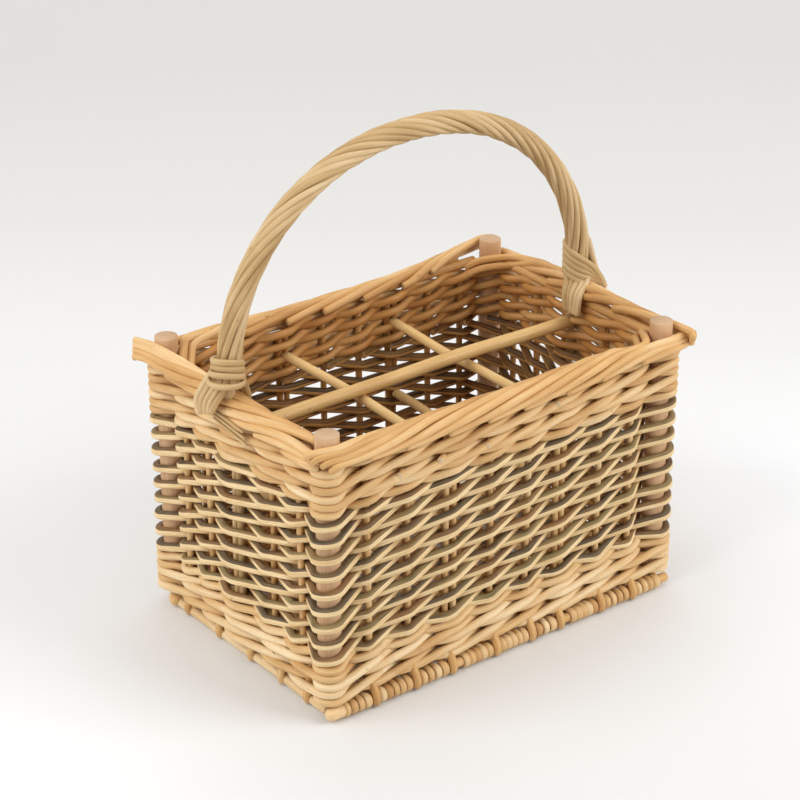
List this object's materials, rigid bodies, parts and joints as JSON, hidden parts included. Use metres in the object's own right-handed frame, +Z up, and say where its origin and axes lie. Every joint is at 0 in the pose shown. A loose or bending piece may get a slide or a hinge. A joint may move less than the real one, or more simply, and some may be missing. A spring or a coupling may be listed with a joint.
{
  "type": "wine bottle basket",
  "caption": "Woven willow basket with rod dividers for standing wine bottles and a fixed roped bow handle.",
  "frame": {"origin": "on the floor, under the middle of the basket's box", "axes": "+X along the long side and the handle's span, +Y across, +Z up through the mouth"},
  "size_m": [0.3322, 0.2254, 0.3632],
  "materials": {
    "white_willow": "peeled willow, satin",
    "border_willow": "peeled buff willow, satin",
    "handle_willow": "peeled thin willow, satin",
    "split_bark_willow": "split willow, bark on one face and pale wood on the other",
    "sanded_post": "sanded round post, matt",
    "divider_rod": "peeled rod with small knots, satin"
  },
  "bodies": {
    "root": {"corner_post_front_left": "sanded_post", "corner_post_front_right": "sanded_post", "corner_post_back_left": "sanded_post", "corner_post_back_right": "sanded_post", "stake_front_1": "white_willow", "stake_front_2": "white_willow", "stake_front_3": "white_willow", "stake_front_4": "white_willow", "stake_front_5": "white_willow", "stake_front_6": "white_willow", "stake_front_7": "white_willow", "stake_front_8": "white_willow", "stake_back_1": "white_willow", "stake_back_2": "white_willow", "stake_back_3": "white_willow", "stake_back_4": "white_willow", "stake_back_5": "white_willow", "stake_back_6": "white_willow", "stake_back_7": "white_willow", "stake_back_8": "white_willow", "stake_left_1": "white_willow", "stake_left_2": "white_willow", "stake_left_3": "white_willow", "stake_left_4": "white_willow", "stake_right_1": "white_willow", "stake_right_2": "white_willow", "stake_right_3": "white_willow", "stake_right_4": "white_willow", "base_weave": "white_willow", "base_stick_1": "border_willow", "base_stick_2": "border_willow", "base_stick_3": "border_willow", "base_stick_4": "border_willow", "bottom_wale_front": "white_willow", "bottom_wale_right": "white_willow", "bottom_wale_back": "white_willow", "bottom_wale_left": "white_willow", "mid_weave_front": "split_bark_willow", "mid_weave_right": "split_bark_willow", "mid_weave_back": "split_bark_willow", "mid_weave_left": "split_bark_willow", "top_wale_front": "white_willow", "top_wale_right": "white_willow", "top_wale_back": "white_willow", "top_wale_left": "white_willow", "border_front": "border_willow", "border_right": "border_willow", "border_back": "border_willow", "border_left": "border_willow", "divider_upper_long": "divider_rod", "divider_upper_cross_1": "divider_rod", "divider_upper_cross_2": "divider_rod", "divider_lower_long": "divider_rod", "divider_lower_cross_1": "divider_rod", "divider_lower_cross_2": "divider_rod", "handle_bow": "handle_willow", "handle_roping": "handle_willow", "handle_tie_left": "handle_willow", "handle_tie_right": "handle_willow"}
  },
  "joints": []
}
